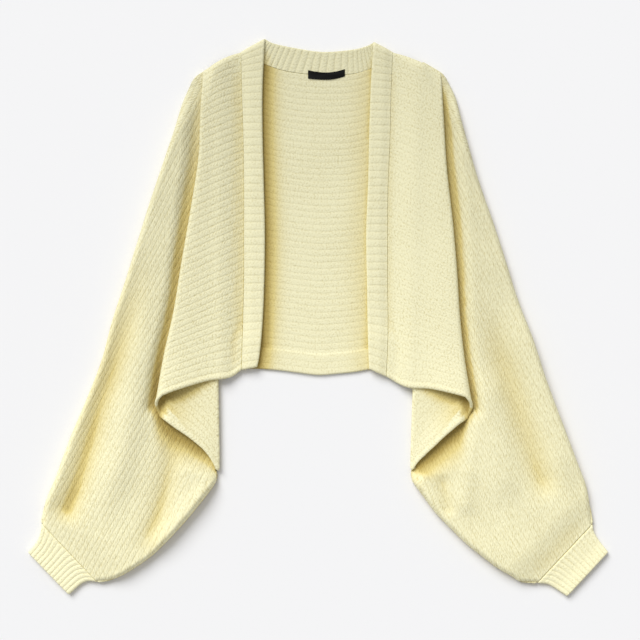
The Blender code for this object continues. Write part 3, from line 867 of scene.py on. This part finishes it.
# The back: its inside face shows between the bands, with a turned hem. Neck seam and hem as x and y
back = {
    "ridges": 48,
    "ridgeDepth": 0.13,     # as a part of the cloth's half thickness
    "perRidge": 6,
    "columns": 56,
    "pitch": 8.3,
    "width": 265,
    "neck": ((-100, 344), (-84, 335.5), (-72, 331), (-42, 321), (0, 316), (42, 317), (70, 325), (86, 334),
             (97, 345)),
    "hem": ((-129, -70), (-99, -67), (-75, -67), (-50, -69), (-26, -72), (0, -75), (23, -73.5), (48, -71),
            (66, -68), (91, -68), (124, -70)),
    "hemDepth": 26,
    "hemThicker": 0.6,
    "hemEdge": 0.07,        # depth of the line where the turned hem ends
    "clear": 0.4,           # from the armholes
    "inset": 3.2,           # the fronts roll down over the back's shoulder edge
    "waves": (0.25, 70),
    "seed": 21,
    "crease": {"path": ((20, -20), (21, -48), (19, -70)), "width": 3.0, "height": -0.5},
}


def backPanel(material):
    lines = meshLines(back["ridges"], back["perRidge"], (0.04, 0.1))
    down = (lines / back["ridges"])[:, None]
    part = meshLines(1, back["columns"] - 1, (0.002, 0.006))
    right, left = armholes["right"][0], armholes["left"][0]
    topX = right[0] + back["clear"] + (left[0] - right[0] - 2 * back["clear"]) * part
    top = np.interp(topX, *np.vstack([right, evenly(back["neck"], 60), left]).T)
    top = top - back["inset"] * eased((np.abs(topX) - 92) / 8) - 0.1
    right, left = armholeX("right", back["hem"][0][1]), armholeX("left", back["hem"][-1][1])
    lowX = right + back["clear"] + (left - right - 2 * back["clear"]) * part
    low = np.interp(lowX, *evenly(back["hem"], 80).T)
    flat = np.stack([topX + (lowX - topX) * down, top + (low - top) * down], axis=-1)
    fromHem = flat[..., 1] - low
    turned = 1 - eased((fromHem - back["hemDepth"]) / 1.8)
    thick = layers["half"] - 0.15 + back["hemThicker"] * turned
    wavy, span = back["waves"]
    height = thick + 0.55 + wavy * (1 + gentleWaves(flat, span, back["seed"]))
    mid = leveled(flat, height + softFold(flat, back["crease"]))
    along = part * back["width"]
    rim = rounded(np.minimum(along, back["width"] - along), 1.3)
    rim = rim * rounded(fromHem, 2.0) * rounded(top - flat[..., 1], 0.4)
    relief = back["ridgeDepth"] * ribGroove(lines, 0.9)[:, None] * (1 - 0.75 * turned)
    relief = relief + back["hemEdge"] * np.exp(-((fromHem - back["hemDepth"]) / 1.1) ** 2)
    across = lines[:, None] * back["pitch"]
    sheets = clothShell(mid, upwardNormals(mid), thick * rim, relief, along, across)
    piece = clothPiece("backKnit", sheets, material)
    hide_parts("back_panel")
    return piece


# The neck band, linked to the front bands at both shoulders. Edges as x and y of the upper one,
# then of its seam
neckRib = {
    "ribs": 26,
    "perRib": 7,
    "pitch": 9.2,
    "half": 1.5,
    "rise": 1.4,            # how much higher its upper edge stands
    "lap": 0.15,            # how far it laps onto the back
    "ribDepth": 0.34,
    "rows": 14,
    "edges": ((-69, 363, -100, 344), (-58, 357, -72, 331), (-30, 351, -42, 321), (6, 346, 0, 316),
              (42, 348.5, 42, 317), (62, 353, 70, 325), (72, 358, 97, 345)),
}


def neckBand(material):
    lines = meshLines(neckRib["ribs"], neckRib["perRib"], (0.04, 0.1))
    part = lines / neckRib["ribs"]
    table = curveThrough(neckRib["edges"], part * (len(neckRib["edges"]) - 1))
    top, seam = table[:, :2], table[:, 2:]
    seam = seam - unit(top - seam) * neckRib["lap"]
    down = meshLines(1, neckRib["rows"] - 1, (0.015, 0.04))
    flat = between(top, seam, down)
    ends = eased(np.minimum(part, 1 - part) / 0.12)[:, None]
    mid = leveled(flat, neckRib["half"] + 0.3 + neckRib["rise"] * ends * (1 - down))
    wide = np.linalg.norm(seam - top, axis=1)[:, None]
    along = down * wide
    fromEnd = np.minimum(lines, neckRib["ribs"] - lines) * neckRib["pitch"]
    rim = rounded(along, 2.0) * rounded(wide - along, 0.4) * rounded(fromEnd, 1.5)[:, None]
    relief = neckRib["ribDepth"] * ribGroove(lines, 0.8)[:, None] * (1 - 0.6 * eased(1.5 - along / 2.5))
    across = lines[:, None] * neckRib["pitch"]
    sheets = clothShell(mid, upwardNormals(mid), neckRib["half"] * rim, relief, along, across)
    piece = clothPiece("neckBandRib", sheets, material)
    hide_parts("neck_band")
    return piece


# Neck label: a bare strip of woven satin, sewn on at both ends
label = {
    "top": ((-13, 322), (-2, 320), (11, 319), (24, 320.5), (35, 323.5)),
    "low": ((-13, 311), (-2, 310), (11, 309.5), (24, 311), (35, 314)),
    "columns": 40,
    "rows": 18,
    "width": 48.0,
    "depth": 10.5,
    "half": 0.35,
    "level": 4.1,
    "ripple": 0.25,         # it lies in two shallow waves along its lower edge
    "warp": "#050505",
    "weft": "#0F0E0D",
    "thread": 0.5,          # drawn coarser than the real 0.1, which is too fine to show
}


def satinMaterial():
    # Woven polyester satin: long floats give a soft sheen along the width
    material, shader = newMaterial("wovenSatin", 0.55, 0.12)
    shader.inputs["Anisotropic"].default_value = 0.5
    tree = material.node_tree
    place = addNode(tree, "UVMap", {}, uv_map="knit")
    threads = 1000 / label["thread"] / 6.28
    weave = addNode(tree, "TexWave", {"Vector": place, "Scale": threads, "Distortion": 1.5, "Detail": 2.0},
                    wave_type="BANDS", bands_direction="Y")
    bump = addNode(tree, "Bump", {"Strength": 0.4, "Distance": 0.1 * mm, "Height": weave})
    colour = addNode(tree, "Mix", {0: weave, 6: linear(label["warp"]), 7: linear(label["weft"])}, 2,
                     data_type="RGBA")
    tree.links.new(bump, shader.inputs["Normal"])
    tree.links.new(colour, shader.inputs["Base Color"])
    return material


def neckLabel(material):
    columns = label["columns"]
    top, low = evenly(label["top"], columns), evenly(label["low"], columns)
    part = meshLines(1, label["rows"] - 1, (0.02, 0.05))[:, None]
    flat = top + (low - top) * part[..., None]
    ripple = label["ripple"] * np.sin(np.linspace(0, 4 * math.pi, columns))
    mid = leveled(flat, label["level"] + ripple * part)
    across = part * label["depth"]
    along = np.linspace(0, label["width"], columns)
    fromEnd = np.minimum(along, label["width"] - along)
    rim = rounded(np.minimum(across, label["depth"] - across), 0.5) * rounded(fromEnd, 0.5)
    # a dent along each sewn end
    stitched = np.exp(-((fromEnd - 2) / 0.7) ** 2)
    sheets = clothShell(mid, upwardNormals(mid), label["half"] * rim, 0.5 * stitched, along, across)
    piece = clothPiece("neckLabelSatin", sheets, material)
    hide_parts("neck_label")
    return piece


# Pitch of the ribs, slant of the stitches, depth of grooves and of stitches in millimetres, and how strong
# the painted shade is in the gaps between stitches and in those between ribs
knitSizes = {
    "FrontRight": (fronts["pitch"], 0.4, 0.12, 0.2, 0.46, 1.35),
    "FrontLeft": (fronts["pitch"], 0.4, 0.02, 0.18, 0.42, 0.5),
    "SleeveRight": (sleeves["right"]["pitch"], 0.3, 0.12, 0.25, 0.5, 1.5),
    "SleeveLeft": (sleeves["left"]["pitch"], 0.3, 0.12, 0.25, 0.5, 1.5),
    "Back": (back["pitch"], 0.3, 0.04, 0.14, 0.36, 1.0),
    "Band": (bands["pitch"], 0.4, 0.06, 0.12, 0.3, 1.5),
    "Cuff": (cuffs["pitch"], 0.4, 0.15, 0.15, 0.35, 1.5),
    "Neck": (neckRib["pitch"], 0.4, 0.15, 0.15, 0.35, 1.5),
}
knits = {name: knitMaterial("ribKnit" + name, *sizes) for name, sizes in knitSizes.items()}
print(len(knits), "knits ready")

pieces = {}
for side in ("right", "left"):
    pieces[f"front_{side}"] = frontPanel(side, knits["Front" + side.title()])
    pieces[f"sleeve_{side}"] = sleeve(side, knits["Sleeve" + side.title()])
    pieces[f"cuff_{side}"] = cuff(side, knits["Cuff"])
    pieces[f"band_{side}"] = frontBand(side, knits["Band"])
pieces["back"] = backPanel(knits["Back"])
pieces["neck"] = neckBand(knits["Neck"])
pieces["label"] = neckLabel(satinMaterial())

# Painted shade: how far each place lies in a fold, up to 1, and to 2 where it is deepest; the knit's colour
# is darkened by it. It is in one where the garment round it is higher, where it is close beside a piece
# that overhangs it and would shade it, and in the troughs of its own folds
hollows = {
    "cell": 3.0,            # the top of the garment on a grid of this, smoothed over this much:
    "reach": (7.0, 16.0),
    "margin": 40,
    "towardsLight": (-3.0, 4.0),
    "least": 0.8,           # from this far below what is round it
    "deepest": 3.6,         # to this far below
    "below": {"right": (300, 240), "left": (330, 60)},    # begins this high, deepens over this much,
    "shoulderPart": 0.3,    # from this part of its depth
    "besideFold": (10.0, 0.35),     # painted shade beside the front's hanging edge: how wide and how deep
    # painted shadow that each band casts on the back beside it: how wide and how deep
    "besideBand": {"right": (17.0, 1.8), "left": (22.0, 0.5)},
    # the same painted shadow beside the hem, then over what part it fades and how far inside the fold it
    # begins
    "besideHem": {"right": (32.0, 2.2, 0.6, -6.0), "left": (36.0, 2.2, 0.12, 3.0)},
    "hemEnds": (16, 0.4),   # its upper end fades over this much, and it is narrower by this at the lower
    # painted shade inside the lower end of the hanging fold: how wide and how deep
    "inCorner": (36.0, 1.15),
    "troughs": 0.09,        # for each millimetre of a trough's depth
}


def smoothed(grid, reach):
    count = int(3 * reach / hollows["cell"]) + 1
    weights = np.exp(-0.5 * (np.arange(-count, count + 1) * hollows["cell"] / reach) ** 2)
    weights /= weights.sum()
    for axis in (0, 1):
        grid = np.apply_along_axis(lambda line: np.convolve(line, weights, mode="same"), axis, grid)
    return grid


def beside(places, line, wide, deep):
    off, _, _ = nearPath(places, line)
    return deep * np.exp(-(off / wide) ** 2)


# Painted shade on a sleeve: beside the front that lies on it, beside that front's hem and in the troughs of
# the sleeve's folds, weaker towards the shoulder
def sleevePaintedShade(side, places, value):
    lid = hangingLine(side)
    begins, deepens = hollows["below"][side]
    value = value + beside(places, lid, *hollows["besideFold"])
    least = hollows["shoulderPart"]
    value = value * (least + (1 - least) * eased((begins - places[:, 1]) / deepens))
    hem = lid[fronts["foldPoints"] - 1:]
    wide, deep, fading, inside = hollows["besideHem"][side]
    near, narrower = hollows["hemEnds"]
    off, along, _ = nearPath(places, hem)
    ends = eased((abs(hem[0, 0]) - np.abs(places[:, 0]) - inside) / near) * eased((1.03 - along) / fading)
    value = value + deep * np.exp(-(off / (wide * (1 - narrower * along))) ** 2) * ends
    troughs = sum(np.maximum(-softFold(places, fold), 0) for fold in sleeves[side]["folds"])
    return value + troughs * hollows["troughs"]


# Painted shade for every piece, from how far each point lies below the garment's smoothed top, sampled a
# little towards the light
def paintShadeInHollows():
    low = np.array(cadBox[0])[:2] / mm - hollows["margin"]
    high = np.array(cadBox[1])[:2] / mm + hollows["margin"]
    top = np.zeros(((high - low) / hollows["cell"]).astype(int) + 1)
    places = {}
    for name, piece in pieces.items():
        place = np.zeros(len(piece.data.vertices) * 3)
        piece.data.vertices.foreach_get("co", place)
        place = place.reshape(-1, 3) / mm
        row, column = ((place[:, :2] - low) / hollows["cell"]).astype(int).T
        np.maximum.at(top, (row, column), place[:, 2])
        places[name] = place
    around = sum(smoothed(top, reach) for reach in hollows["reach"]) / len(hollows["reach"])
    for name, place in places.items():
        flat = place[:, :2]
        row, column = ((flat + hollows["towardsLight"] - low) / hollows["cell"]).astype(int).T
        depth = around[row, column] - place[:, 2] - hollows["least"]
        value = np.clip(depth / (hollows["deepest"] - hollows["least"]), 0, 1)
        kind, _, side = name.partition("_")
        if kind == "sleeve":
            value = sleevePaintedShade(side, flat, value)
        elif kind == "back":
            for bandSide, shape in hollows["besideBand"].items():
                value = value + beside(flat, evenly(bands[bandSide], 40), *shape)
        elif kind == "front":
            # painted shade inside the hanging fold, at its lower end
            corner = np.array([fronts[side]["rows"][-1][2:4]])
            underneath = place[:, 2] < layers["under"] + 6
            value = value + beside(flat, np.vstack([corner, corner + 1]), *hollows["inCorner"]) * underneath
        # the painted shade, kept on each point for the knit's colour to darken by
        paintedShade = pieces[name].data.attributes.new("paintedShade", "FLOAT", "POINT")
        paintedShade.data.foreach_set("value", np.clip(value, 0, 2).astype(np.float32))


paintShadeInHollows()
print("hollows shaded")

# The pale surface that it lies on, soft daylight from the upper left, and a pale room
studio = {
    "floorSize": 40,
    "floorLevel": -0.0003,
    "floorColour": "#F2F2F3",
    "sunStrength": 2.75,
    "sunAngle": 36,         # degrees across: a large soft source
    "sunHeight": 42,
    "sunFrom": 120,         # degrees round from +X, so from the upper left
    "room": "#FFFFFF",
    "roomStrength": 0.442,
    "lens": 100,
    "sensor": 36,
    "across": 0.832,        # metres of the surface across the view
    "centre": (0.0026, -0.0033),
    "clothLevel": 0.008,
    "seesTo": 20,
}
bpy.ops.mesh.primitive_plane_add(size=studio["floorSize"], location=(0, 0, studio["floorLevel"]))
floor = bpy.context.object
floor.name = "paleFloor"
floorPaint, floorShader = newMaterial("mattPaperFloor", 0.95, 0.1)
floorShader.inputs["Base Color"].default_value = linear(studio["floorColour"])
floor.data.materials.append(floorPaint)

sun = bpy.data.objects.new("softWindow", bpy.data.lights.new("softWindow", "SUN"))
sun.data.energy = studio["sunStrength"]
sun.data.angle = math.radians(studio["sunAngle"])
sun.rotation_euler = (0, math.radians(90 - studio["sunHeight"]), math.radians(studio["sunFrom"]))
bpy.context.scene.collection.objects.link(sun)
room = bpy.data.worlds.new("paleRoom")
room.use_nodes = True
background = room.node_tree.nodes["Background"]
background.inputs["Color"].default_value = linear(studio["room"])
background.inputs["Strength"].default_value = studio["roomStrength"]
bpy.context.scene.world = room
bpy.context.scene.view_settings.view_transform = "Standard"

camera = bpy.data.objects.new("fromAbove", bpy.data.cameras.new("fromAbove"))
camera.data.lens = studio["lens"]
camera.data.sensor_width = studio["sensor"]
camera.data.clip_end = studio["seesTo"]
distance = studio["across"] * studio["lens"] / studio["sensor"]
camera.location = (*studio["centre"], distance + studio["clothLevel"])
bpy.context.scene.collection.objects.link(camera)
bpy.context.scene.camera = camera
print("floor, light and camera ready")
